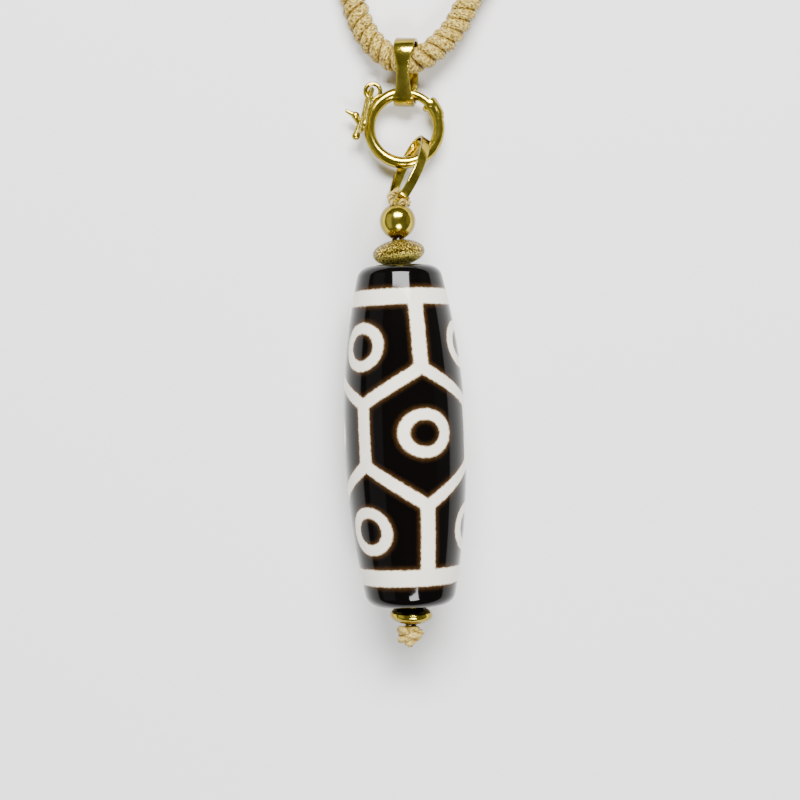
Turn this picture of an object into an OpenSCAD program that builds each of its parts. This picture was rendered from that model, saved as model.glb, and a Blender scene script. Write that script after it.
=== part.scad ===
// Necklace with one patterned agate barrel bead, laid flat on its back.
// The bead's axis runs along Y, the clasp and the neck cord are towards +Y,
// and the surface that everything rests on is z = 0. Millimetres and degrees.

/* [Agate bead] */
// Length of the bead along its bore
bead_length = 37.5; // [32:0.5:44]
// Diameter at the middle, where the bead touches the surface
bead_d = 13.5; // [12:0.1:15]
// Diameter that the barrel curve has reached at the end nearest the clasp
bead_top_d = 8.9; // [7:0.1:10]
// Diameter that the barrel curve has reached at the knot's end
bead_foot_d = 9.5; // [7:0.1:10.5]
// Radius of the rounded edge at both ends
bead_edge_r = 1.5; // [0.5:0.1:2]
// Diameter of the bore
bead_bore_d = 2; // [1.9:0.1:2.8]

/* [Gold beads] */
// Diameter of the round bead
ball_d = 4; // [3:0.1:5]
// Bore of the round bead
ball_bore_d = 1.8; // [1.7:0.1:2.2]
// Diameter of the frosted saucer between the round bead and the agate
upper_saucer_d = 5.8; // [5:0.1:7]
// Thickness of the frosted saucer at its middle
upper_saucer_h = 2.8; // [2:0.1:3.2]
// Thickness of the frosted saucer at its rim
upper_saucer_rim = 0.8; // [0.4:0.1:1.4]
// Lean of the frosted saucer on its thread
upper_saucer_tilt = 5; // [0:1:8]
// Diameter of the polished saucer under the agate
lower_saucer_d = 4.8; // [4:0.1:6]
// Thickness of the polished saucer at its middle
lower_saucer_h = 2.1; // [1.6:0.05:2.4]
// Thickness of the polished saucer at its rim
lower_saucer_rim = 0.6; // [0.3:0.1:1]
// Lean of the polished saucer on its thread
lower_saucer_tilt = -3; // [-8:1:0]
// Bore of both saucers
saucer_bore_d = 1.9; // [1.8:0.05:2.2]
// Gap between neighbours on the thread
bead_gap = 0.08; // [0.05:0.01:0.15]

/* [Thread and knot] */
// Diameter of the thread, which runs through the beads twice
thread_d = 0.7; // [0.6:0.02:0.74]
// Gap between the two strands
strand_gap = 0.08; // [0.04:0.01:0.1]
// Diameter of the knot's core
knot_d = 2.3; // [1.9:0.1:3]
// How far the thread's loop has sunk below the bore at the oval link
thread_drop = 2.23; // [2:0.01:2.6]

/* [Oval link] */
// Outer length of the flat oval link
link_length = 9; // [8.6:0.1:10]
// Outer width of the link
link_width = 5; // [4.9:0.1:5.6]
// Outer radius of its ends
link_end_r = 1.8; // [1.6:0.1:2.1]
// Thickness of its flat wire
link_wall = 0.35; // [0.25:0.01:0.38]
// Width of its flat wire
link_band = 1.1; // [0.8:0.05:1.2]
// Direction of the link on the surface, from +X
link_turn = 67.2; // [65:0.2:69]
// Lean of the link about its own length
link_roll = 24.4; // [22:0.2:26]

/* [Spring ring clasp] */
// Outer diameter of the clasp ring
ring_d = 9.26; // [9:0.02:10.4]
// Diameter of the ring's tube
tube_d = 1.36; // [1.3:0.02:1.4]
// Diameter of the sliding bolt
bolt_d = 0.98; // [0.8:0.02:1]
// Gap all round the bolt inside the tube
bolt_clear = 0.05; // [0.03:0.01:0.08]
// Height of the ring's centre line above the surface
ring_lift = 1.8; // [1.75:0.05:2]
// Angle where the open end of the tube lets the bolt out
mouth_angle = 85; // [80:1:95]
// Angle of the mouth of the socket that takes the tip of the bolt
socket_angle = 45; // [43:0.5:46]
// Diameter of the swollen lip round the socket's mouth
lip_d = 2; // [1.8:0.05:2.1]
// Length of the lip along the ring, in degrees
lip_span = 11; // [8:1:13]
// Diameter of the collar behind the lip
collar_d = 1.66; // [1.54:0.02:1.76]
// Length of the collar with its lip along the ring, in degrees
collar_span = 33; // [28:1:36]
// How far outwards the collar stands from the ring's centre line
collar_shift = 0.1; // [0.02:0.02:0.12]
// Angle of the trigger on the ring with the bolt shut
trigger_angle = 173; // [171:0.5:176]
// Turn of the bolt from shut to open
bolt_travel = 57; // [45:1:60]
// Diameter of the trigger's stem
stem_d = 0.56; // [0.4:0.02:0.6]
// Gap between the stem and its slot
stem_clear = 0.07; // [0.05:0.01:0.1]

/* [Eyelet and end link] */
// Outer diameter of the eyelet that is soldered to the ring
eyelet_d = 2.2; // [2:0.05:2.4]
// Wire of the eyelet
eyelet_wire = 0.5; // [0.4:0.02:0.52]
// Angle of the eyelet on the ring
eyelet_angle = 128.4; // [127:0.2:130]
// Outer length of the small link in the eyelet
end_link_length = 6; // [5.6:0.1:6.2]
// Outer width of the small link
end_link_width = 2; // [1.9:0.05:2.2]
// Wire of the small link
end_link_wire = 0.44; // [0.36:0.02:0.48]

/* [Bail] */
// Width of the bail's band at its ends
bail_band = 2.3; // [2:0.1:2.6]
// Width of the front leaf at its waist
bail_waist = 1.4; // [1:0.1:1.9]
// Thickness of the band
bail_wall = 0.4; // [0.3:0.02:0.5]
// Distance between the bends round the cord and round the ring
bail_reach = 4; // [3.6:0.1:5]
// Lean of the bail to one side
bail_roll = 11; // [8:1:13]
// Swing of the bail on the ring, along the surface
bail_swing = 5; // [3:1:6]
// Room left round the cord in the bail
bail_cord_room = 0.25; // [0.22:0.01:0.35]
// Room left round the ring's tube in the bail
bail_ring_room = 0.37; // [0.34:0.01:0.45]

/* [Neck cord] */
// Diameter of the plaited neck cord
cord_d = 3.1; // [2.6:0.1:3.2]
// Outer diameter of the sleeve that joins the cord's ends
join_d = 4.4; // [4:0.1:5]
// Length of the sleeve
join_length = 14; // [10:1:16]
// Gap all round the cord in the sleeve
join_clear = 0.1; // [0.05:0.01:0.15]

/* [Hidden] */
$fn = 64;

gold = "goldenrod";
thread_tan = "burlywood";
seat = 0.02; // what rests on the surface starts this far above it

// Heights and places along the thread, from the middle of the agate bead
axis_z = bead_d / 2;
top_y = bead_length / 2;
foot_y = -bead_length / 2;
upper_reach = dome_reach(upper_saucer_d, upper_saucer_h, upper_saucer_rim, upper_saucer_tilt);
lower_reach = dome_reach(lower_saucer_d, lower_saucer_h, lower_saucer_rim, lower_saucer_tilt);
upper_saucer_y = top_y + bead_gap + upper_reach;
ball_y = upper_saucer_y + upper_reach + bead_gap + ball_d / 2;
ball_top_y = ball_y + ball_d / 2;
lower_saucer_y = foot_y - bead_gap - lower_reach;
knot_y = lower_saucer_y - lower_reach - bead_gap - knot_d / 2;
strand_x = (thread_d + strand_gap) / 2;
strand_foot_y = knot_y + knot_d / 2 + seat;

// The oval link slopes from the thread's loop down to the clasp ring
ring_r = (ring_d - tube_d) / 2;
link_inside = link_length / 2 - link_wall;
link_near = [0.02, ball_top_y + 0.49, axis_z - thread_drop];
hook_back = 2.41; // how far the ring's tube crosses the link, back from its far inside end
hook_side = 0.2; // how far to the side of the link's line it crosses
hook_rise = 0.3; // how far above the link's far inside end
hook_angle = -73; // where on the ring that is
link_pitch = asin((link_near.z + hook_rise - ring_lift) / (2 * link_inside));
link_along = [cos(link_pitch) * cos(link_turn), cos(link_pitch) * sin(link_turn), -sin(link_pitch)];
link_flat = [cos(link_turn), sin(link_turn), 0];
link_right = [sin(link_turn), -cos(link_turn), 0];
link_lift = [sin(link_pitch) * cos(link_turn), sin(link_pitch) * sin(link_turn), cos(link_pitch)];
link_face = cos(link_roll) * link_lift + sin(link_roll) * link_right;
link_across = cross(link_along, link_face);
link_centre = link_near + link_inside * link_along;
link_far = link_centre + link_inside * link_along;

// The ring takes its place from the link, the bail from the ring
hook = link_far - hook_back * link_flat + hook_side * link_right;
ring_centre = [hook.x - ring_r * cos(hook_angle), hook.y - ring_r * sin(hook_angle), ring_lift];
bolt_bore_d = bolt_d + 2 * bolt_clear;
tip_reach = 13.5; // the bolt's tip stands this many degrees inside the socket
tail_reach = 12; // and its tail this many degrees beyond the trigger
bore_spare = 4; // degrees of bore left behind the tail with the bolt open
socket_depth = 24; // degrees
tip_angle = socket_angle - tip_reach;
tail_angle = trigger_angle + tail_reach;
bore_end_angle = tail_angle + bolt_travel + bore_spare;
socket_end_angle = socket_angle - socket_depth;
collar_angle = socket_angle - collar_span / 2;
lip_angle = socket_angle - lip_span / 2;
lip_steps = [[0, 0.4], [0.1, 0.7], [0.25, 1]]; // thinner by this much, over this share of the lip's span
collar_steps = [[0, 0.85], [0.12, 1]]; // thinner by this much, over this share of the collar's span
slot_h = stem_d + 2 * stem_clear;
slot_margin = asin((stem_d / 2 + stem_clear) / ring_r);
stem_out = 0.42; // how far the trigger's stem stands out of the tube
trigger_r = ring_r + tube_d / 2 + stem_out;
eyelet_sink = 0.25; // how far the eyelet's wire runs into the tube
eyelet_r = ring_r + tube_d / 2 + eyelet_d / 2 - eyelet_sink;
eyelet_centre = ring_centre + polar(eyelet_r, eyelet_angle);
end_link_hang = [-0.83, -2.26, tube_d / 2 + 0.22]; // from the eyelet's middle to the link's
end_link_centre = eyelet_centre + end_link_hang;
end_link_pose = [-17.2, -21.4, 256.1];

// The thumb piece: how far its lobes lie beyond the stem's end, how many degrees to the side, and how thick they are
lobe_at = [0.65, -9.2];
prong_at = [1.7, -11.4];
heel_at = [0.5, 14.7];
lobe_d = 0.86;
prong_root_d = 0.66;
prong_d = 0.42;
heel_d = 0.84;

// The bail's two bends, seen from the side
cord_bend_r = cord_d / 2 + bail_cord_room + bail_wall;
ring_bend_r = tube_d / 2 + bail_ring_room + bail_wall;
bail_seat = [0.16, -0.05, 0]; // the lower bend's place, from the top of the ring's centre line
bail_foot = ring_centre + [0, ring_r, 0] + bail_seat;
bail_line = [sin(bail_swing), cos(bail_swing), 0];
bail_head = [bail_foot.x + bail_reach * bail_line.x, bail_foot.y + bail_reach * bail_line.y,
             cord_bend_r * cos(bail_roll) + bail_band / 2 * sin(bail_roll) + seat];
bail_drop = bail_foot.z - bail_head.z;
cord_slack = 0.52; // the cord lies this far short of the bail's upper bend
cord_pass = bail_head - cord_slack * bail_line + [0, 0, cord_slack / bail_reach * bail_drop];

// The neck cord's route: x, y, and the shares of its lift in the bail and in the sleeve
cord_rings = 9.3; // spacing of the sections on the long stretches
route = [
    [6.1, 314, 0, 1], [13, 314, 0, 1], [20, 313.6, 0, 0.9], [32, 310.3, 0, 0.4], [46, 302, 0, 0.05], [59, 287, 0, 0],
    [68, 266, 0, 0], [73.5, 240, 0, 0], [74, 208, 0, 0], [69, 174, 0, 0], [59, 141, 0, 0],
    [46, 112, 0, 0], [33.3, 88, 0, 0], [22.5, 69.5, 0.02, 0], [14, 56.5, 0.15, 0], [9.3, 49.3, 0.5, 0],
    [7.1, 45.5, 0.9, 0], [4.8, 43.3, 1.3, 0], [3.3, 42.4, 1.35, 0], [1.65, 42.1, 1, 0], [-1.85, 44.3, 0.5, 0],
    [-3.4, 47, 0.25, 0], [-4.1, 49.6, 0.08, 0], [-6, 58, 0.01, 0], [-10.8, 74, 0, 0], [-19.5, 96, 0, 0],
    [-32, 123, 0, 0], [-45, 151, 0, 0], [-55.5, 181, 0, 0], [-61, 212, 0, 0], [-60.5, 242, 0, 0],
    [-53.5, 269, 0, 0], [-43, 289, 0, 0], [-31, 302.5, 0, 0.05], [-18.5, 310.3, 0, 0.4],
    [-7.5, 313.6, 0, 0.9], [-1, 314, 0, 1], [5.9, 314, 0, 1]
];
route_pass = [1.65, 42.1];
bail_lift = cord_pass.z - cord_d / 2;
join_lift = (join_d - cord_d) / 2;
cord_path = [for (p = route) [
    p.x - route_pass.x + cord_pass.x,
    p.y - route_pass.y + cord_pass.y,
    cord_d / 2 + seat + p[2] * (bail_lift - seat) + p[3] * join_lift]];
join_centre = (cord_path[0] + cord_path[len(cord_path) - 1]) / 2;

// The thread: up one strand, round the link's near end and down the other
loop_angle = 146; // where on the link's near end the thread sits
loop_room = 0.04; // room between the thread's loop and the link's edges
loop_r = link_band / 2 + thread_d / 2 + loop_room;
loop_out = cos(loop_angle) * link_along + sin(loop_angle) * link_face;
loop_centre = link_centre - (link_length / 2 - link_end_r) * link_along + (link_end_r - link_wall) * loop_out;
thread_top = [0, ball_top_y, axis_z];
thread_path = concat(
    [for (y = [strand_foot_y, ball_top_y - 1, ball_top_y - 0.4]) [-strand_x, y, axis_z]],
    [thread_top + [-0.72, 0.42, -0.4], thread_top + [-0.66, 1.1, -0.9]],
    [for (a = [180:-36:0]) loop_centre + loop_r * (cos(a) * link_across - sin(a) * loop_out)],
    [thread_top + [1.25, 0.04, -1.6], thread_top + [1.05, -0.12, -1.16], thread_top + [0.62, 0.34, -0.5]],
    [for (y = [ball_top_y - 0.4, ball_top_y - 1, strand_foot_y]) [strand_x, y, axis_z]]);

function polar(r, a) = [r * cos(a), r * sin(a), 0];
function thumb_place(at) = polar(trigger_r + at[0], trigger_angle + at[1]);
function unit(v) = v / norm(v);

// Radius of a saucer's domed faces, and how far a leaning saucer reaches along the thread
function dome_r(d, h, rim) = let (s = (h - rim) / 2) (d * d / 4 + s * s) / (2 * s);
function dome_reach(d, h, rim, tilt) = h / 2 + (dome_r(d, h, rim) - h / 2) * (1 - cos(tilt));

// A smooth curve through points: its slope at a point, a place on one span, and all its places
function gap_at(p, i) = norm(p[i + 1] - p[i]);
function slope(p, i) =
    i == 0 ? (p[1] - p[0]) / gap_at(p, 0) :
    i == len(p) - 1 ? (p[i] - p[i - 1]) / gap_at(p, i - 1) :
    (gap_at(p, i - 1) * (p[i + 1] - p[i]) / gap_at(p, i) + gap_at(p, i) * (p[i] - p[i - 1]) / gap_at(p, i - 1))
        / (gap_at(p, i - 1) + gap_at(p, i));
function on_span(p, i, t) =
    (2 * t ^ 3 - 3 * t ^ 2 + 1) * p[i] + (t ^ 3 - 2 * t ^ 2 + t) * gap_at(p, i) * slope(p, i)
    + (3 * t ^ 2 - 2 * t ^ 3) * p[i + 1] + (t ^ 3 - t ^ 2) * gap_at(p, i) * slope(p, i + 1);
function steps_on(p, i, step) = max(2, round(gap_at(p, i) / step));
function curve(p, step) = concat(
    [for (i = [0:len(p) - 2]) for (j = [0:steps_on(p, i, step) - 1]) on_span(p, i, j / steps_on(p, i, step))],
    [p[len(p) - 1]]);

// Directions along and across a path, the second carried along without twisting
function heading(p, i) = unit(p[min(i + 1, len(p) - 1)] - p[max(i - 1, 0)]);
function squared(v, t) = unit(v - (v * t) * t);
function sides(p, first) = [
    for (i = 0, u = squared(first, heading(p, 0)); i < len(p);
         i = i + 1, u = i < len(p) ? squared(u, heading(p, i)) : u) u];

// A round tube along a path, with flat ends
module swept_tube(p, d, first, n = 8) {
    u = sides(p, first);
    points = [for (i = [0:len(p) - 1]) for (k = [0:n - 1])
        p[i] + d / 2 * (cos(360 * k / n) * u[i] + sin(360 * k / n) * cross(heading(p, i), u[i]))];
    walls = [for (i = [0:len(p) - 2]) for (k = [0:n - 1])
        let (a = i * n + k, b = i * n + (k + 1) % n)
        each [[a, a + n, b + n], [a, b + n, b]]];
    start = [for (k = [0:n - 1]) k];
    end = [for (k = [n - 1:-1:0]) (len(p) - 1) * n + k];
    polyhedron(points, concat([start], walls, [end]));
}

// Half of the bead's outline: a barrel curve that rolls over into the flat end
module bead_half(end_d) {
    drop = (bead_d - end_d) / 2;
    barrel_r = (top_y * top_y + drop * drop) / (2 * drop);
    edge_y = top_y - bead_edge_r;
    edge_x = bead_d / 2 - barrel_r + sqrt((barrel_r - bead_edge_r) ^ 2 - edge_y ^ 2);
    intersection() {
        translate([bead_d / 2 - barrel_r, 0]) circle(barrel_r, $fn = 720);
        square([bead_d, edge_y * barrel_r / (barrel_r - bead_edge_r)]);
    }
    square([edge_x, top_y]);
    translate([edge_x, edge_y]) circle(bead_edge_r);
}

module dzi_bead() {
    color("#1b120c") translate([0, 0, axis_z]) rotate([-90, 0, 0]) difference() {
        rotate_extrude() intersection() {
            union() {
                bead_half(bead_top_d);
                mirror([0, 1]) bead_half(bead_foot_d);
            }
            translate([0, -bead_length]) square([bead_d, 2 * bead_length]);
        }
        cylinder(h = 2 * bead_length, d = bead_bore_d, center = true);
    }
}

// A lens-shaped bead with a blunt rim, threaded along Y and leaning by tilt
module saucer(d, h, rim, tilt) {
    r = dome_r(d, h, rim);
    rotate([-90, 0, tilt]) rotate_extrude() intersection() {
        translate([0, h / 2 - r]) circle(r, $fn = 180);
        translate([0, r - h / 2]) circle(r, $fn = 180);
        translate([saucer_bore_d / 2, -h]) square([(d - saucer_bore_d) / 2, 2 * h]);
    }
}

module upper_saucer() {
    color(gold) translate([0, upper_saucer_y, axis_z])
        saucer(upper_saucer_d, upper_saucer_h, upper_saucer_rim, upper_saucer_tilt);
}

module lower_saucer() {
    color(gold) translate([0, lower_saucer_y, axis_z])
        saucer(lower_saucer_d, lower_saucer_h, lower_saucer_rim, lower_saucer_tilt);
}

module round_bead() {
    color(gold) translate([0, ball_y, axis_z]) rotate([-90, 0, 0]) difference() {
        sphere(d = ball_d);
        cylinder(h = 2 * ball_d, d = ball_bore_d, center = true);
    }
}

module pendant_thread() {
    color(thread_tan) swept_tube(curve(thread_path, 2 * bead_length), thread_d, [0, 0, 1]);
}

// An overhand knot: a core with two turns of thread round it and one tucked end
module end_knot() {
    turn_d = 1.2 * thread_d;
    color(thread_tan) translate([0, knot_y, axis_z]) {
        translate([-0.1, 0, 0]) sphere(d = knot_d);
        translate([-0.05, -0.05 * knot_d, 0]) rotate([-90, 0, 16]) knot_turn(turn_d);
        translate([-0.25, -0.2 * knot_d, 0]) rotate([-78, 0, -14]) knot_turn(turn_d);
        translate([-0.3 * knot_d, 0.25 * knot_d, 0.2 * knot_d]) sphere(d = 1.6 * thread_d);
    }
}

module knot_turn(d) {
    rotate_extrude() translate([0.42 * knot_d, 0]) circle(d = d);
}

// An oval of four arcs: two end arcs and two long side arcs that meet them smoothly
module oval(length, width, end_r) {
    end_x = length / 2 - end_r;
    spare = width / 2 - end_r;
    side_y = (end_x * end_x - spare * spare) / (2 * spare);
    side_r = width / 2 + side_y;
    join_x = end_x * side_r / (side_r - end_r);
    intersection() {
        translate([0, side_y]) circle(side_r, $fn = 180);
        translate([0, -side_y]) circle(side_r, $fn = 180);
        square([2 * join_x, 2 * width], center = true);
    }
    for (s = [-1, 1]) translate([s * end_x, 0]) circle(end_r);
}

module oval_link() {
    color(gold) translate(link_centre) rotate([link_roll, link_pitch, link_turn]) rotate([90, 0, 0])
        linear_extrude(link_band, center = true) difference() {
            oval(link_length, link_width, link_end_r);
            oval(link_length - 2 * link_wall, link_width - 2 * link_wall, link_end_r - link_wall);
        }
}

// A stretch of round wire along the clasp ring's circle, or beside it by shift
module ring_arc(d, from, to, shift = 0) {
    rotate([0, 0, from]) rotate_extrude(angle = to - from) translate([ring_r + shift, 0]) circle(d = d);
}

// The collar and its lip swell in steps
module collar() {
    for (step = collar_steps)
        ring_arc(collar_d - step[0], socket_angle - step[1] * collar_span, lip_angle, collar_shift - step[0] / 2);
    for (step = lip_steps)
        ring_arc(lip_d - step[0], lip_angle - step[1] * lip_span / 2, lip_angle + step[1] * lip_span / 2);
}

module clasp_ring() {
    color(gold) translate(ring_centre) difference() {
        union() {
            ring_arc(tube_d, mouth_angle, collar_angle + 360);
            collar();
            translate(eyelet_centre - ring_centre) rotate_extrude()
                translate([(eyelet_d - eyelet_wire) / 2, 0]) circle(d = eyelet_wire);
        }
        ring_arc(bolt_bore_d, mouth_angle - 2, bore_end_angle);
        ring_arc(bolt_bore_d, socket_end_angle, socket_angle + 2);
        rotate([0, 0, trigger_angle - slot_margin])
            rotate_extrude(angle = bolt_travel + 2 * slot_margin)
                translate([ring_r, -slot_h / 2]) square([tube_d, slot_h]);
    }
}

// One stretch of the thumb piece: a tapered rod from a to b that ends in a ball
module horn(a, b, d_a, d_b) {
    turn = atan2(b.y - a.y, b.x - a.x);
    translate(a) rotate([0, 90, turn]) cylinder(h = norm(b - a), d1 = d_a, d2 = d_b);
    translate(b) sphere(d = 1.1 * d_b);
}

// The spring bolt, with the two-horned thumb piece that stands out through the slot
module clasp_bolt() {
    fork = thumb_place([0, 0]);
    color(gold) translate(ring_centre) {
        ring_arc(bolt_d, tip_angle, tail_angle);
        rotate([0, 90, trigger_angle]) translate([0, 0, ring_r]) cylinder(h = trigger_r - ring_r, d = stem_d);
        translate(fork) sphere(d = 1.3 * stem_d);
        horn(fork, thumb_place(lobe_at), 1.1 * stem_d, lobe_d);
        horn(thumb_place(lobe_at), thumb_place(prong_at), prong_root_d, prong_d);
        horn(fork, thumb_place(heel_at), 1.1 * stem_d, heel_d);
    }
}

module end_link() {
    bend_r = (end_link_width - end_link_wire) / 2;
    straight = end_link_length - end_link_width;
    color(gold) translate(end_link_centre) rotate(end_link_pose) rotate([90, 0, 0]) for (s = [-1, 1]) {
        translate([s * straight / 2, 0]) rotate([0, 0, -90 * s])
            rotate_extrude(angle = 180) translate([bend_r, 0]) circle(d = end_link_wire, $fn = 32);
        translate([-straight / 2, s * bend_r, 0]) rotate([0, 90, 0])
            cylinder(h = straight, d = end_link_wire, $fn = 32);
    }
}

// A block with two round ends and straight tangent sides: the bail's outside, or with shrink its hollow
module bail_block(shrink, width) {
    foot = [-bail_reach, bail_drop];
    lean = atan2(foot.y, foot.x);
    spread = acos((cord_bend_r - ring_bend_r) / norm(foot));
    front = [cos(lean - spread), sin(lean - spread)];
    back = [cos(lean + spread), sin(lean + spread)];
    r_head = cord_bend_r - shrink;
    r_foot = ring_bend_r - shrink;
    rotate([90, 0, 90]) {
        cylinder(h = width, r = r_head, center = true, $fn = 96);
        translate(foot) cylinder(h = width, r = r_foot, center = true, $fn = 96);
        linear_extrude(width, center = true)
            polygon([r_head * back, foot + r_foot * back, foot + r_foot * front, r_head * front]);
    }
}

// The bail is drawn in at the waist of its front leaf by two curved cuts of short straight stretches
module bail() {
    dent = (bail_band - bail_waist) / 2;
    cut_reach = 0.67 * bail_reach;
    waist_r = (cut_reach ^ 2 + dent ^ 2) / (2 * dent);
    cut_angle = asin(cut_reach / waist_r);
    arc = [for (i = [-5:5]) [bail_waist / 2 + waist_r * (1 - cos(i * cut_angle / 5)), waist_r * sin(i * cut_angle / 5)]];
    color(gold) translate(bail_head) rotate([0, -bail_roll, -bail_swing]) difference() {
        bail_block(0, bail_band);
        bail_block(bail_wall, 2 * bail_band);
        for (s = [0, 1]) mirror([s, 0, 0]) translate([0, -bail_reach / 2, 0]) linear_extrude(2 * cord_bend_r)
            polygon(concat(arc, [[bail_band, cut_reach], [bail_band, -cut_reach]]));
    }
}

module neck_cord() {
    color(thread_tan) swept_tube(curve(cord_path, cord_rings), cord_d, [0, 0, 1]);
}

module cord_join() {
    chamfer = 0.3;
    bore_r = cord_d / 2 + join_clear;
    color(gold) translate(join_centre) rotate([0, 90, 0]) rotate_extrude() difference() {
        polygon([
            [0, -join_length / 2], [join_d / 2 - chamfer, -join_length / 2],
            [join_d / 2, chamfer - join_length / 2], [join_d / 2, join_length / 2 - chamfer],
            [join_d / 2 - chamfer, join_length / 2], [0, join_length / 2]]);
        translate([0, -join_length]) square([bore_r, 2 * join_length]);
    }
}

dzi_bead();
upper_saucer();
round_bead();
lower_saucer();
pendant_thread();
end_knot();
oval_link();
clasp_ring();
clasp_bolt();
end_link();
bail();
neck_cord();
cord_join();
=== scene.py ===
import bpy
from math import asin, atan2, cos, pi, radians, sin, sqrt, tau
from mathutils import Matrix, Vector


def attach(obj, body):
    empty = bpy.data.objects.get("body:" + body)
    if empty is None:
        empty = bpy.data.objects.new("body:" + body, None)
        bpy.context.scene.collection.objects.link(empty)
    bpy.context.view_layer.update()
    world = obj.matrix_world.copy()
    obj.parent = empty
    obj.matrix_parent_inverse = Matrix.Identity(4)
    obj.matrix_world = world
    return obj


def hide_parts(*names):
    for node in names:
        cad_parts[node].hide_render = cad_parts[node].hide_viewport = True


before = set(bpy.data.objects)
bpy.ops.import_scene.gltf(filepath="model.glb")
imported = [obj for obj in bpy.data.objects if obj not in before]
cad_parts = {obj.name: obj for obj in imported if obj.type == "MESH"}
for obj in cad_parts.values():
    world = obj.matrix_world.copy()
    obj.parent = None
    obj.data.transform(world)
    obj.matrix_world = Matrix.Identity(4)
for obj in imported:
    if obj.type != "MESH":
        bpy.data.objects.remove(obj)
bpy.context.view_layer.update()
mm = 0.001
body = "necklace"
threadHeight = 6.75  # the beads' common axis above the table, in millimetres

# Camera: straight above, rolled so that the bead leans 2 degrees as in the photograph
cameraView = {"at": (-0.424, 3.929, 191.75), "roll": -2, "lens": 75.15, "sensor": 36, "nearest": 10}

bpy.ops.object.select_all(action="DESELECT")
bpy.ops.object.camera_add(
    location=[v * mm for v in cameraView["at"]], rotation=(0, 0, radians(cameraView["roll"])))
camera = bpy.context.object
camera.name = "tableCamera"
camera.data.lens = cameraView["lens"]
camera.data.sensor_width = cameraView["sensor"]
camera.data.clip_start = cameraView["nearest"] * mm
bpy.context.scene.camera = camera
print("camera set")


# Shader maths on sockets
class Level:
    def __init__(self, finish, socket):
        self.finish, self.socket = finish, socket

    def maths(self, operation, *others):
        return self.finish.node("ShaderNodeMath", {"operation": operation}, [self, *others])

    def __add__(self, other):
        return self.maths("ADD", other)

    __radd__ = __add__

    def __sub__(self, other):
        return self.maths("SUBTRACT", other)

    def __rsub__(self, other):
        return self.finish.node("ShaderNodeMath", {"operation": "SUBTRACT"}, [other, self])

    def __mul__(self, other):
        return self.maths("MULTIPLY", other)

    __rmul__ = __mul__

    def __truediv__(self, other):
        return self.maths("DIVIDE", other)

    def __abs__(self):
        return self.maths("ABSOLUTE")

    def least(self, other):
        return self.maths("MINIMUM", other)

    def most(self, other):
        return self.maths("MAXIMUM", other)

    def held(self, high=1.0):
        # kept between nothing and the high value
        return self.most(0.0).least(high)


# One material: its principled surface, and any other node that it needs
class Finish:
    def __init__(self, name, **steady):
        self.material = bpy.data.materials.new(name)
        self.material.use_nodes = True
        self.tree = self.material.node_tree
        self.tree.nodes.clear()
        self.surface = self.tree.nodes.new("ShaderNodeBsdfPrincipled")
        output = self.tree.nodes.new("ShaderNodeOutputMaterial")
        self.tree.links.new(self.surface.outputs[0], output.inputs["Surface"])
        self.fill(self.surface, {key.replace("_", " "): value for key, value in steady.items()})

    def fill(self, made, inputs):
        for key, value in inputs.items() if isinstance(inputs, dict) else enumerate(inputs):
            if isinstance(value, Level):
                self.tree.links.new(value.socket, made.inputs[key])
            else:
                made.inputs[key].default_value = value

    def node(self, kind, settings, inputs, output=0):
        made = self.tree.nodes.new(kind)
        for key, value in settings.items():
            if key == "stops":
                self.rampStops(made.color_ramp, value)
            else:
                setattr(made, key, value)
        self.fill(made, inputs)
        return Level(self, made.outputs[output])

    def rampStops(self, ramp, stops):
        while len(ramp.elements) < len(stops):
            ramp.elements.new(1)
        for element, (place, colour) in zip(ramp.elements, stops):
            element.position, element.color = place, (*colour, 1)

    def place(self):
        return self.node("ShaderNodeTexCoord", {}, {}, "Object")

    def parts(self, vector):
        apart = self.node("ShaderNodeSeparateXYZ", {}, [vector])
        return [Level(self, output) for output in apart.socket.node.outputs]

    def stretched(self, vector, scale):
        return self.node("ShaderNodeMapping", {}, {"Vector": vector, "Scale": scale})

    def cells(self, where, scale, output):
        return self.node("ShaderNodeTexVoronoi", {"feature": "F1"}, {"Vector": where, "Scale": scale}, output)

    def slant(self):
        # nothing where the surface faces the eye, one where it turns away
        return self.node("ShaderNodeLayerWeight", {}, {"Blend": 0.5}, "Facing")

    def noise(self, where, scale, detail=2, roughness=0.5):
        inputs = {"Vector": where, "Scale": scale, "Detail": detail, "Roughness": roughness}
        return self.node("ShaderNodeTexNoise", {}, inputs, "Fac")

    def ramp(self, level, stops):
        return self.node("ShaderNodeValToRGB", {"stops": stops}, {"Fac": level})

    def blend(self, level, low, high):
        return self.node("ShaderNodeMix", {"data_type": "RGBA"}, {0: level, 6: low, 7: high}, 2)

    def relief(self, height, strength, distance):
        return self.node("ShaderNodeBump", {}, {"Height": height, "Strength": strength, "Distance": distance})

    def surfaceTakes(self, inputs):
        self.fill(self.surface, inputs)


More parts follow.
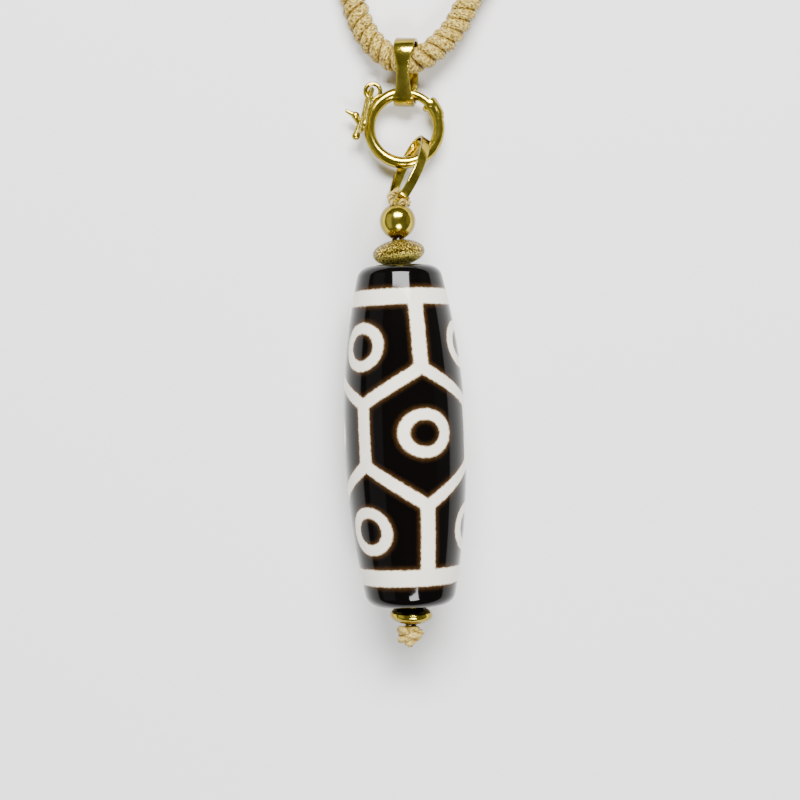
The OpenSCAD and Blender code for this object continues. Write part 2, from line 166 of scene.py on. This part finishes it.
# Agate pattern, in millimetres along the bead and along its girth from the middle column of eyes
agatePattern = {
    "columns": 3, "columnAt": 19.0, "columnLean": -0.13,
    "bands": [(14.25, 16.0), (-16.25, -14.4)],
    "stemHalf": 0.82, "sideHalf": 0.8, "slantHalf": 0.66,
    "topFork": 7.4, "footFork": -7.5, "sideTop": 3.5, "sideFoot": -3.05,
    "stemOverlap": 0.3, "girthRadius": 6.5, "softJoin": 0.35,
    "eyes": [  # degrees from the middle column, height, ring radius, stretch round the girth
        (0, 0.3, 2.04, 1.16), (-63.5, 9.75, 2.06, 1.08), (63, 9.9, 2.06, 1.08), (180, 9.9, 2.06, 1.08),
        (-63, -10.2, 2.05, 1.08), (62, -10.1, 2.05, 1.08), (180, -10.1, 2.05, 1.08),
        (120, 0.3, 2.04, 1.16), (-120, 0.3, 2.04, 1.16)],
    "eyeHalf": 0.6, "wander": 0.32, "halo": 0.6,
    "tones": [  # ivory, through the brown halo, to black
        (0.42, (0.83, 0.79, 0.67)), (0.50, (0.25, 0.185, 0.11)), (0.58, (0.036, 0.017, 0.005)),
        (0.76, (0.014, 0.0062, 0.0018)), (1.0, (0.0014, 0.001, 0.0008))],
    "clouds": [(0.3, (0.82, 0.80, 0.76)), (0.7, (1, 1, 1))], "cloudShare": 0.35,
    "ragScale": 2600, "cloudScale": 260, "pitScale": 5200, "glossScale": 900,
}


def agateFinish(plan):
    agate = Finish("agate", IOR=1.42, Specular_IOR_Level=0.3)
    where = agate.place()
    x, y, z = agate.parts(where)
    x, y, z = x / mm, y / mm, (z - threadHeight * mm) / mm
    radius = (x * x + z * z).maths("SQRT")
    turn = x.maths("ARCTAN2", z) * (180 / pi) - plan["columnAt"] - y * plan["columnLean"]
    period = 360 / plan["columns"]
    fromColumn = abs(turn.maths("WRAP", period / 2, -period / 2))  # degrees from the nearest column of middle eyes
    share = fromColumn / (period / 2)
    girth = radius * fromColumn * (pi / 180)
    sideGirth = radius * (period / 2 - fromColumn) * (pi / 180)

    # each mark is the distance outside one ivory shape
    marks = []
    for low, high in plan["bands"]:
        marks.append(abs(y - (low + high) / 2) - (high - low) / 2)
    topBand, footBand = plan["bands"][0][0], plan["bands"][1][1]
    stem = girth - plan["stemHalf"]
    marks.append(stem.most(plan["topFork"] - y).most(y - topBand - plan["stemOverlap"]))
    marks.append(stem.most(y - plan["footFork"]).most(footBand - plan["stemOverlap"] - y))
    marks.append((sideGirth - plan["sideHalf"]).most(y - plan["sideTop"]).most(plan["sideFoot"] - y))
    halfGirth = plan["girthRadius"] * period / 2 * pi / 180
    for fork, side in ((plan["topFork"], plan["sideTop"]), (plan["footFork"], plan["sideFoot"])):
        fall = side - fork
        across = halfGirth / sqrt(halfGirth ** 2 + fall ** 2)
        marks.append(abs(y - fork - share * fall) * across - plan["slantHalf"])
    for angle, height, wide, stretch in plan["eyes"]:
        aside = (turn - angle).maths("WRAP", 180, -180) * radius * (pi / 180 / stretch)
        rise = y - height
        reach = (aside * aside + rise * rise).maths("SQRT")
        marks.append(abs(reach - wide) - plan["eyeHalf"])
    distance = marks[0]
    for mark in marks[1:]:
        distance = distance.maths("SMOOTH_MIN", mark, plan["softJoin"])
    ragged = agate.noise(where, plan["ragScale"], 3, 0.65) - 0.5
    distance = distance + ragged * plan["wander"]

    colour = agate.ramp(distance / plan["halo"] * 0.5 + 0.5, plan["tones"])
    cloud = agate.ramp(agate.noise(where, plan["cloudScale"], 4, 0.6), plan["clouds"])
    tinted = agate.node(
        "ShaderNodeMix", {"data_type": "RGBA", "blend_type": "MULTIPLY"},
        {0: plan["cloudShare"], 6: colour, 7: cloud}, 2)
    pits = agate.noise(where, plan["pitScale"], 2, 0.7)
    agate.surfaceTakes({
        "Base Color": tinted,
        "Roughness": agate.noise(where, plan["glossScale"], 3) * 0.07 + 0.035,
        "Normal": agate.relief(pits, 0.05, 0.02 * mm)})
    return agate.material


# Gold plate: polished, darker where it is worn, with painted shade where it turns away from the eye
goldFinish = {
    # edge is a painted shade colour, laid where the surface turns away from the eye
    "colour": (0.92, 0.74, 0.10, 1), "worn": (0.52, 0.39, 0.025, 1), "edge": (0.17, 0.115, 0.006, 1),
    "roughness": 0.08, "patchScale": 700, "scratchScale": 2200, "swellScale": 950, "relief": 0.06 * mm,
}


def polishedGold(plan):
    gold = Finish("polishedGold", Metallic=1.0)
    where = gold.place()
    patches = gold.noise(where, plan["patchScale"], 4, 0.6)
    scratches = gold.noise(gold.stretched(where, (1, 6, 1)), plan["scratchScale"], 3, 0.7)
    swell = gold.noise(where, plan["swellScale"], 2, 0.5)
    face = gold.blend((patches * 3 - 1.15).held(), plan["colour"], plan["worn"])
    gold.surfaceTakes({
        # painted shade: the colour darkens to the edge colour where the surface turns away from the eye
        "Base Color": gold.blend((gold.slant() * 3 - 0.55).held(0.92), face, plan["edge"]),
        "Roughness": scratches * 0.12 + plan["roughness"],
        "Normal": gold.relief(swell + scratches * 0.2, 0.5, plan["relief"])})
    return gold.material


# Frosted gold: struck with fine pits above the saucer's rim, satin below it; painted shade darkens the grain and where
# the surface turns away from the eye
frostFinish = {
    # the two dark colours below are painted shade: one in the frosted grain, one where the surface turns away from the
    # eye
    "peak": (0.98, 0.80, 0.13, 1), "paintedGrainShade": (0.13, 0.07, 0.003, 1), "edge": (0.17, 0.115, 0.006, 1),
    "roughness": 0.14, "cellScale": 4600, "grainScale": 6000, "relief": 0.22 * mm,
    "rimAt": 20.1, "rimLean": 0.087, "rimFade": 2.2,  # millimetres along the bead, slope, change in a millimetre
}


def frostedGold(plan):
    frost = Finish("frostedGold")
    where = frost.place()
    cells = frost.cells(where, plan["cellScale"], "Distance")
    grain = frost.noise(where, plan["grainScale"], 2, 0.7)
    sparkle = frost.node("ShaderNodeSeparateColor", {}, [frost.cells(where, plan["cellScale"], "Color")])
    x, y = frost.parts(where)[:2]
    lowerFace = (((x * plan["rimLean"] - y) / mm + plan["rimAt"]) * plan["rimFade"]).held()
    # painted shade in the frosted grain, lighter on the satin lower face
    paintedGrainShade = (cells * 1.9 + (grain - 0.5) * 2.2 - 0.1 - lowerFace * 0.6).held()
    face = frost.blend(paintedGrainShade, plan["peak"], plan["paintedGrainShade"])
    # painted shade where the surface turns away from the eye, none on the lower face
    paintedRimShade = (frost.slant() * 2 - 0.7).held(0.8) * (1 - lowerFace)
    frost.surfaceTakes({
        "Base Color": frost.blend(paintedRimShade, face, plan["edge"]),
        "Metallic": 1 - lowerFace * 0.8,
        "Roughness": sparkle * 0.2 + plan["roughness"] + lowerFace * 0.3,
        "Normal": frost.relief((cells * 1.3 + grain * 0.7) * (1 - lowerFace * 0.6), 1.0, plan["relief"])})
    return frost.material


# Plaited fibre: u runs round a strand from its outermost line and v along it, one unit for each strand width
fibreFinish = {
    "cord": {"plaits": 2.4, "around": 6, "paintedGrooveShade": 2.4, "depth": 0.16 * mm, "tones": [
        (0.02, (0.035, 0.018, 0.002)), (0.24, (0.17, 0.092, 0.009)), (0.46, (0.40, 0.265, 0.036)),
        (0.70, (0.62, 0.47, 0.10)), (0.96, (0.86, 0.75, 0.28))]},
    "thread": {"plaits": 0.8, "around": 3, "paintedGrooveShade": 1.5, "depth": 0.05 * mm, "tones": [
        (0.02, (0.07, 0.034, 0.004)), (0.24, (0.24, 0.135, 0.018)), (0.46, (0.48, 0.33, 0.06)),
        (0.70, (0.70, 0.54, 0.15)), (0.96, (0.90, 0.78, 0.34))]},
}


def plaitedFibre(name, plan):
    fibre = Finish(name, Specular_IOR_Level=0.35)
    weave = fibre.node("ShaderNodeUVMap", {"uv_map": "weave"}, {})
    around, along = fibre.parts(weave)[:2]
    jitter = fibre.noise(fibre.stretched(weave, (2, 1, 1)), 2.4, 3) * 1.6
    left = ((around * plan["around"] + along * plan["plaits"] + jitter) * tau).maths("SINE")
    right = ((around * plan["around"] - along * plan["plaits"] + jitter) * tau).maths("SINE")
    over = left.most(right) * 0.5 + 0.5
    hairs = fibre.noise(fibre.stretched(weave, (16, 1.3, 1)), 1.6, 4, 0.7)
    flecks = fibre.noise(fibre.stretched(weave, (9, 3.2, 1)), 2.6, 3, 0.6)
    outward = (around * tau).maths("COSINE") * 0.5 + 0.5
    lit = (outward * plan["paintedGrooveShade"] - (plan["paintedGrooveShade"] - 1.3)).held()  # painted shade, dark in the grooves between strands
    # painted light: the raised plaits are a little lighter, and the painted groove shade then darkens the tone
    tone = ((hairs - 0.5) * 1.5 + (flecks - 0.5) * 2.1 + over * 0.2 + 0.34) * lit
    fibre.surfaceTakes({
        "Base Color": fibre.ramp(tone, plan["tones"]),
        "Roughness": 0.52 - flecks * 0.36,
        "Normal": fibre.relief(over * 0.6 + hairs * 0.9 + flecks * 0.5, 1.0, plan["depth"])})
    return fibre.material


agate = agateFinish(agatePattern)
polished = polishedGold(goldFinish)
frosted = frostedGold(frostFinish)
cordFibre = plaitedFibre("cordFibre", fibreFinish["cord"])
threadFibre = plaitedFibre("threadFibre", fibreFinish["thread"])
print("finishes made")


def settle(piece, finish, slot, *nodes):
    piece.data.materials.clear()
    piece.data.materials.append(finish)
    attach(piece, body)
    if nodes:
        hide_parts(*nodes)
    return piece


# A piece turned on a lathe: outline is (radius, height) in millimetres, from the foot of the bore round to it again
def turnPiece(name, outline, sides, middle, lean=0):
    bpy.ops.object.select_all(action="DESELECT")
    firstRadius, firstHeight = outline[0]
    bpy.ops.mesh.primitive_circle_add(
        vertices=sides, radius=firstRadius * mm, fill_type="NOTHING", location=(0, 0, firstHeight * mm))
    piece = bpy.context.object
    piece.name = piece.data.name = name
    bpy.ops.object.transform_apply(location=True)
    bpy.ops.object.mode_set(mode="EDIT")
    bpy.ops.mesh.select_all(action="SELECT")
    for (radius, height), (nextRadius, nextHeight) in zip(outline, outline[1:]):
        bpy.ops.mesh.extrude_region_move(TRANSFORM_OT_translate={"value": (0, 0, (nextHeight - height) * mm)})
        grow = nextRadius / radius
        bpy.ops.transform.resize(value=(grow, grow, 1), center_override=(0, 0, nextHeight * mm))
    bpy.ops.mesh.select_all(action="SELECT")
    bpy.ops.mesh.remove_doubles(threshold=0.0005 * mm)
    bpy.ops.mesh.normals_make_consistent(inside=False)
    bpy.ops.object.mode_set(mode="OBJECT")
    piece.rotation_euler = (-pi / 2, 0, radians(lean))
    piece.location = [v * mm for v in middle]
    bpy.ops.object.transform_apply(location=True, rotation=True, scale=True)
    bpy.ops.object.shade_smooth_by_angle(angle=radians(40))
    return piece


# Agate bead
beadPlan = {
    "length": 37.5, "middle": 13.5, "top": 8.9, "foot": 9.5, "edge": 1.5, "bore": 2,
    "boreLip": [(0.25, 0), (0.07, 0.02), (0, 0.09)],  # out from the bore, and in from the end
    "sides": 144, "steps": 26, "edgeSteps": 10,
}


def beadHalf(plan, endWide):
    # from the widest place to the bore, as (radius, distance from the middle)
    half, radius, edge = plan["length"] / 2, plan["middle"] / 2, plan["edge"]
    drop = (plan["middle"] - endWide) / 2
    barrel = (half ** 2 + drop ** 2) / (2 * drop)
    edgeHeight = half - edge
    edgeRadius = radius - barrel + sqrt((barrel - edge) ** 2 - edgeHeight ** 2)
    leave = asin(edgeHeight / (barrel - edge))
    points = []
    for i in range(plan["steps"]):
        a = leave * i / plan["steps"]
        points.append((radius - barrel + barrel * cos(a), barrel * sin(a)))
    for i in range(plan["edgeSteps"] + 1):
        a = leave + (pi / 2 - leave) * i / plan["edgeSteps"]
        points.append((edgeRadius + edge * cos(a), edgeHeight + edge * sin(a)))
    return points + [(plan["bore"] / 2 + out, half - down) for out, down in plan["boreLip"]]


def beadOutline(plan):
    top = beadHalf(plan, plan["top"])
    foot = [(r, -h) for r, h in beadHalf(plan, plan["foot"])]
    return foot[::-1] + top[1:] + [foot[-1]]


agateBead = turnPiece("agateBead", beadOutline(beadPlan), beadPlan["sides"], (0, 0, threadHeight))
settle(agateBead, agate, "agate", "dzi_bead")
print("agate bead turned")


# Gold beads on the thread
ballPlan = {"wide": 4, "bore": 1.8, "middle": (0, 23.735, threadHeight), "steps": 24, "sides": 64}
saucerPlans = [
    {"name": "frostedSaucer", "node": "upper_saucer", "finish": frosted, "slot": "frosted_gold",
     "wide": 5.8, "thick": 2.86, "lean": 5, "middle": (0, 20.243, threadHeight)},
    {"name": "polishedSaucer", "node": "lower_saucer", "finish": polished, "slot": "polished_gold",
     "wide": 4.8, "thick": 2.14, "lean": -3, "middle": (0, -19.884, threadHeight)},
]
saucerShared = {"bore": 1.9, "steps": 32, "sides": 72}


def ballOutline(plan):
    radius, bore = plan["wide"] / 2, plan["bore"] / 2
    lip = asin(bore / radius)
    points = []
    for i in range(plan["steps"] + 1):
        a = pi - lip - (pi - 2 * lip) * i / plan["steps"]
        points.append((radius * sin(a), radius * cos(a)))
    return points + [points[0]]


def saucerOutline(plan, shared):
    # half an ellipse, from the bore at the foot to the bore at the top
    radius, half = plan["wide"] / 2, plan["thick"] / 2
    lip = asin(shared["bore"] / 2 / radius)
    points = []
    for i in range(shared["steps"] + 1):
        a = lip + (pi - 2 * lip) * i / shared["steps"]
        points.append((radius * sin(a), -half * cos(a)))
    return points + [points[0]]


roundBead = turnPiece("roundBead", ballOutline(ballPlan), ballPlan["sides"], ballPlan["middle"])
settle(roundBead, polished, "polished_gold", "round_bead")
for plan in saucerPlans:
    outline = saucerOutline(plan, saucerShared)
    saucer = turnPiece(plan["name"], outline, saucerShared["sides"], plan["middle"], plan["lean"])
    settle(saucer, plan["finish"], plan["slot"], plan["node"])
print("gold beads turned")


# Routes are smooth curves through points, as in the solids
def routePlaces(points, spacing):
    points = [Vector(p) for p in points]
    gaps = [(b - a).length for a, b in zip(points, points[1:])]
    slopes = []  # of the curve at each point
    for i, p in enumerate(points):
        if i == 0:
            slopes.append((points[1] - p) / gaps[0])
        elif i == len(points) - 1:
            slopes.append((p - points[i - 1]) / gaps[-1])
        else:
            before, after = gaps[i - 1], gaps[i]
            toNext, fromLast = (points[i + 1] - p) / after, (p - points[i - 1]) / before
            slopes.append((before * toNext + after * fromLast) / (before + after))
    places = []
    for i, gap in enumerate(gaps):
        steps = max(2, round(gap / spacing))
        for j in range(steps):
            t = j / steps
            places.append(
                (2 * t ** 3 - 3 * t ** 2 + 1) * points[i] + (t ** 3 - 2 * t ** 2 + t) * gap * slopes[i]
                + (3 * t ** 2 - 2 * t ** 3) * points[i + 1] + (t ** 3 - t ** 2) * gap * slopes[i + 1])
    return places + [points[-1]]


def evenPlaces(places, spacing):
    # places one spacing apart along the route, with the length before each
    lengths = [0.0]
    for a, b in zip(places, places[1:]):
        lengths.append(lengths[-1] + (b - a).length)
    count = round(lengths[-1] / spacing)
    found, i = [], 0
    for k in range(count + 1):
        want = lengths[-1] * k / count
        while i < len(lengths) - 2 and lengths[i + 1] < want:
            i += 1
        t = (want - lengths[i]) / (lengths[i + 1] - lengths[i])
        found.append((places[i].lerp(places[i + 1], t), want))
    return found


# Strands twisted round a route: each is a tube, deep and wide across, that makes one turn in each lead
def twistStrands(name, route, plan):
    places = evenPlaces(routePlaces(route, 0.25 * plan["lead"]), plan["lead"] / plan["turnSteps"])
    count, sides = len(places), plan["sides"]
    pitch = tau * plan["twistRadius"] / plan["lead"]
    stretch = sqrt(1 + pitch ** 2)  # a strand's length for each length of the route
    side = Vector((0, 0, 1))
    corners, faces, weave, frames = [], [], [], []
    for i, (p, s) in enumerate(places):
        ahead = (places[min(i + 1, count - 1)][0] - places[max(i - 1, 0)][0]).normalized()
        side = (side - side.dot(ahead) * ahead).normalized()
        frames.append((p, s, ahead, side.copy(), ahead.cross(side)))
    for strand in range(plan["strands"]):
        first = len(corners)
        for p, s, ahead, across, up in frames:
            a = tau * (s / plan["lead"] + strand / plan["strands"])
            out = cos(a) * across + sin(a) * up
            sweep = -sin(a) * across + cos(a) * up
            aside = (ahead + pitch * sweep).normalized().cross(out)
            for k in range(sides):
                b = tau * k / sides
                deep, wide = plan["twistRadius"] + plan["deep"] * cos(b), plan["wide"] * sin(b)
                corners.append((p + deep * out + wide * aside) * mm)
        for i in range(count - 1):
            v0, v1 = [frames[j][1] * stretch / (2 * plan["wide"]) for j in (i, i + 1)]
            for k in range(sides):
                a, b = first + i * sides + k, first + i * sides + (k + 1) % sides
                faces.append((a, b, b + sides, a + sides))
                weave += [(k / sides, v0), ((k + 1) / sides, v0), ((k + 1) / sides, v1), (k / sides, v1)]
        for ring, order in ((0, -1), (count - 1, 1)):
            cap = [first + ring * sides + k for k in range(sides)][::order]
            faces.append(cap)
            weave += [(k / sides, 0.5) for k in range(sides)][::order]
    mesh = bpy.data.meshes.new(name)
    mesh.from_pydata(corners, [], faces)
    layer = mesh.uv_layers.new(name="weave")
    for spot, value in zip(layer.data, weave):
        spot.uv = value
    mesh.polygons.foreach_set("use_smooth", [True] * len(mesh.polygons))
    mesh.update()
    piece = bpy.data.objects.new(name, mesh)
    bpy.context.scene.collection.objects.link(piece)
    return piece


# Neck cord: two thick plaited strands twisted together, on the solid's route
neckCordPlan = {
    "strands": 2, "lead": 2.76, "twistRadius": 0.8, "deep": 0.74, "wide": 0.74, "sides": 9, "turnSteps": 15}
neckRoute = [
    (6.025, 314.097, 2.22), (12.925, 314.097, 2.22), (19.925, 313.697, 2.155), (31.925, 310.397, 1.83),
    (45.925, 302.097, 1.603), (58.925, 287.097, 1.57), (67.925, 266.097, 1.57), (73.425, 240.097, 1.57),
    (73.925, 208.097, 1.57), (68.925, 174.097, 1.57), (58.925, 141.097, 1.57), (45.925, 112.097, 1.57),
    (33.225, 88.097, 1.57), (22.425, 69.597, 1.585), (13.925, 56.597, 1.683), (9.225, 49.397, 1.946),
    (7.025, 45.597, 2.246), (4.725, 43.397, 2.546), (3.225, 42.497, 2.584), (1.575, 42.197, 2.321),
    (-1.925, 44.397, 1.946), (-3.475, 47.097, 1.758), (-4.175, 49.697, 1.63), (-6.075, 58.097, 1.578),
    (-10.875, 74.097, 1.57), (-19.575, 96.097, 1.57), (-32.075, 123.097, 1.57), (-45.075, 151.097, 1.57),
    (-55.575, 181.097, 1.57), (-61.075, 212.097, 1.57), (-60.575, 242.097, 1.57), (-53.575, 269.097, 1.57),
    (-43.075, 289.097, 1.57), (-31.075, 302.597, 1.603), (-18.575, 310.397, 1.83), (-7.575, 313.697, 2.155),
    (-1.075, 314.097, 2.22), (5.825, 314.097, 2.22)]
neckCord = twistStrands("neckCord", neckRoute, neckCordPlan)
settle(neckCord, cordFibre, "cord", "neck_cord")
print("neck cord twisted")


# Pendant thread, doubled through the beads and looped round the oval link
threadPlan = {
    "strands": 2, "lead": 1.25, "twistRadius": 0.165, "deep": 0.18, "wide": 0.19, "sides": 7, "turnSteps": 10}
threadRoute = [
    (-0.39, -20.999, 6.75), (-0.39, 24.735, 6.75), (-0.39, 25.335, 6.75), (-0.72, 26.155, 6.35), (-0.66, 26.835, 5.85),
    (-0.212, 27.018, 5.479), (-0.064, 27.278, 4.981), (0.308, 27.262, 4.536), (0.762, 26.977, 4.312),
    (1.125, 26.53, 4.396), (1.257, 26.094, 4.756), (1.25, 25.775, 5.15), (1.05, 25.615, 5.59), (0.62, 26.075, 6.25),
    (0.39, 25.335, 6.75), (0.39, 24.735, 6.75), (0.39, -20.999, 6.75)]
pendantThread = twistStrands("pendantThread", threadRoute, threadPlan)
settle(pendantThread, threadFibre, "thread", "pendant_thread")
print("thread twisted")


# End knot: turns of the thread drawn tight round a core, with one lobe over them
knotPlan = {
    "middle": (-0.15, -22.25, threadHeight), "turnRadius": 1.06, "height": 1.2, "turns": 2.3, "slant": 0.26,
    "start": 0.6, "flatness": 0.9, "tuckFrom": 0.74, "tuck": 0.8, "endAt": -0.2, "steps": 36,
}
lobeRoute = [
    (-1.2, -21.75, 6.2), (-1.3, -21.5, 6.9), (-1.05, -21.35, 7.6),
    (-0.55, -21.5, 7.85), (-0.2, -21.85, 7.6), (0.1, -22.1, 7.1)]
coreRoute = [(-0.15, -21.15, 6.75), (-0.2, -22.1, 6.8), (-0.2, -23.0, 6.75)]


def knotRoute(plan):
    x, y, z = plan["middle"]
    points = []
    for i in range(plan["steps"] + 1):
        t = i / plan["steps"]
        a = tau * plan["turns"] * t + plan["start"]
        tuck = max(0, (t - plan["tuckFrom"]) / (1 - plan["tuckFrom"]))  # the last stretch winds in
        bulge = plan["turnRadius"] * (0.8 + 0.28 * sin(pi * t)) * (1 - plan["tuck"] * tuck ** 1.5)
        slant = plan["slant"] * sin(a + 0.3 + 1.6 * t)
        rise = plan["height"] * (0.5 - t) + slant
        points.append((x + bulge * cos(a), y + rise, z + plan["flatness"] * bulge * sin(a)))
    return points + [(x, y + plan["endAt"], z)]


knotStrand = dict(threadPlan, lead=2.6, deep=0.33, wide=0.36, twistRadius=0.08, turnSteps=18, sides=9)
coreStrand = dict(threadPlan, lead=3, deep=0.55, wide=0.6, twistRadius=0.4, turnSteps=24)
endKnot = twistStrands("knotOfThread", knotRoute(knotPlan), knotStrand)
bpy.ops.object.select_all(action="DESELECT")
for part in (
        twistStrands("knotLobe", lobeRoute, knotStrand), twistStrands("knotCore", coreRoute, coreStrand), endKnot):
    part.select_set(True)
bpy.context.view_layer.objects.active = endKnot
bpy.ops.object.join()
settle(endKnot, threadFibre, "thread", "end_knot")
print("knot tied")


# Oval link: a flat band with soft edges, carried round its four arcs
ovalPlan = {
    "long": 9, "wide": 5, "endRadius": 1.8, "wall": 0.35, "band": 1.1, "edge": 0.1, "stepsPerRadian": 16,
    "middle": (1.518, 29.789, 3.01), "pose": (114.4, 21.337, 67.2),
}


def ovalLink(plan):
    bpy.ops.object.select_all(action="DESELECT")
    bpy.ops.mesh.primitive_plane_add(size=mm, rotation=(pi / 2, 0, 0))
    piece = bpy.context.object
    piece.name = piece.data.name = "ovalBand"
    piece.scale = (plan["wall"], plan["band"], 1)
    piece.location = ((plan["long"] - plan["wall"]) / 2 * mm, 0, 0)
    bpy.ops.object.transform_apply(location=True, rotation=True, scale=True)
    endPlace = plan["long"] / 2 - plan["endRadius"]
    spare = plan["wide"] / 2 - plan["endRadius"]
    sidePlace = (endPlace ** 2 - spare ** 2) / (2 * spare)
    endTurn = atan2(sidePlace, endPlace)
    arcs = [
        ((endPlace, 0), endTurn), ((0, -sidePlace), pi - 2 * endTurn), ((-endPlace, 0), 2 * endTurn),
        ((0, sidePlace), pi - 2 * endTurn), ((endPlace, 0), endTurn)]
    bpy.ops.object.mode_set(mode="EDIT")
    bpy.ops.mesh.select_all(action="SELECT")
    bpy.ops.mesh.bevel(offset=plan["edge"] * mm, segments=4, affect="VERTICES")
    bpy.ops.mesh.delete(type="ONLY_FACE")  # the band's outline is left, and it is spun round each arc in turn
    bpy.ops.mesh.select_all(action="SELECT")
    for (x, y), angle in arcs:
        bpy.ops.mesh.spin(
            steps=round(plan["stepsPerRadian"] * angle), angle=-angle, center=(x * mm, y * mm, 0), axis=(0, 0, 1))
    bpy.ops.mesh.select_all(action="SELECT")
    bpy.ops.mesh.remove_doubles(threshold=0.002 * mm)
    bpy.ops.mesh.normals_make_consistent(inside=False)
    bpy.ops.object.mode_set(mode="OBJECT")
    piece.rotation_euler = [radians(v) for v in plan["pose"]]
    piece.location = [v * mm for v in plan["middle"]]
    bpy.ops.object.transform_apply(location=True, rotation=True, scale=True)
    bpy.ops.object.shade_smooth_by_angle(angle=radians(40))
    return piece


ovalBand = ovalLink(ovalPlan)
settle(ovalBand, polished, "polished_gold", "oval_link")
print("oval link bent")


# Bail and clasp ring: the solids' shapes, with their sharp edges rubbed soft
metalPlans = [
    {"node": "bail", "name": "softBail", "edge": 0.13},
    {"node": "clasp_ring", "name": "softClaspRing", "edge": 0.05},
]


def softenedCopy(plan):
    bpy.ops.object.select_all(action="DESELECT")
    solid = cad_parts[plan["node"]]
    solid.select_set(True)
    bpy.context.view_layer.objects.active = solid
    bpy.ops.object.duplicate()
    piece = bpy.context.object
    piece.name = plan["name"]
    bpy.ops.object.mode_set(mode="EDIT")
    bpy.ops.mesh.select_all(action="SELECT")
    bpy.ops.mesh.remove_doubles(threshold=0.001 * mm)
    bpy.ops.mesh.dissolve_limited(angle_limit=radians(1))
    bpy.ops.object.mode_set(mode="OBJECT")
    bevel = piece.modifiers.new("edges", "BEVEL")
    bevel.width, bevel.segments = plan["edge"] * mm, 3
    bevel.limit_method, bevel.angle_limit = "ANGLE", radians(45)
    bpy.ops.object.modifier_apply(modifier="edges")
    bpy.ops.object.shade_smooth_by_angle(angle=radians(40))
    return settle(piece, polished, "polished_gold", plan["node"])


for plan in metalPlans:
    softenedCopy(plan)
for name in ("clasp_bolt", "end_link", "cord_join"):
    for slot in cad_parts[name].material_slots:
        slot.material = polished
print("gold laid on the clasp")


# Table and light
tablePlan = {"size": 3.0, "at": (0, 0.1, 0), "colour": (0.82, 0.815, 0.80, 1), "roughness": 0.55}
studioPlan = {"colour": (0.80, 0.83, 0.86, 1), "strength": 0.15}
lampPlans = [
    {"name": "headSoftbox", "at": (0.03, 0.36, 0.46), "aim": (0, 0.02, 0), "wide": 0.4, "tall": 0.2, "watts": 10.5},
    {"name": "footSoftbox", "at": (0.08, -0.36, 0.46), "aim": (0, 0.0, 0), "wide": 0.2, "tall": 0.15, "watts": 3.6},
    {"name": "leftSoftbox", "at": (-0.5, 0.02, 0.3), "aim": (0, 0.02, 0), "wide": 1.0, "tall": 0.36, "watts": 0.35},
    {"name": "rightFill", "at": (0.75, 0.1, 0.22), "aim": (0, 0.05, 0), "wide": 0.8, "tall": 0.4, "watts": 0.08},
]

bpy.ops.object.select_all(action="DESELECT")
bpy.ops.mesh.primitive_plane_add(size=tablePlan["size"], location=tablePlan["at"])
tableTop = bpy.context.object
tableTop.name = "tableTop"
tableFinish = Finish("paleTable", Roughness=tablePlan["roughness"], Base_Color=tablePlan["colour"])
tableTop.data.materials.append(tableFinish.material)

for plan in lampPlans:
    bpy.ops.object.light_add(type="AREA", location=plan["at"])
    lamp = bpy.context.object
    lamp.name = plan["name"]
    lamp.data.shape = "RECTANGLE"
    lamp.data.size, lamp.data.size_y, lamp.data.energy = plan["wide"], plan["tall"], plan["watts"]
    toward = Vector(plan["aim"]) - Vector(plan["at"])
    lamp.rotation_euler = toward.to_track_quat("-Z", "Y").to_euler()

studio = bpy.data.worlds.new("studio")
studio.use_nodes = True
background = studio.node_tree.nodes["Background"]
background.inputs["Color"].default_value = studioPlan["colour"]
background.inputs["Strength"].default_value = studioPlan["strength"]
bpy.context.scene.world = studio
print("table and lamps set")
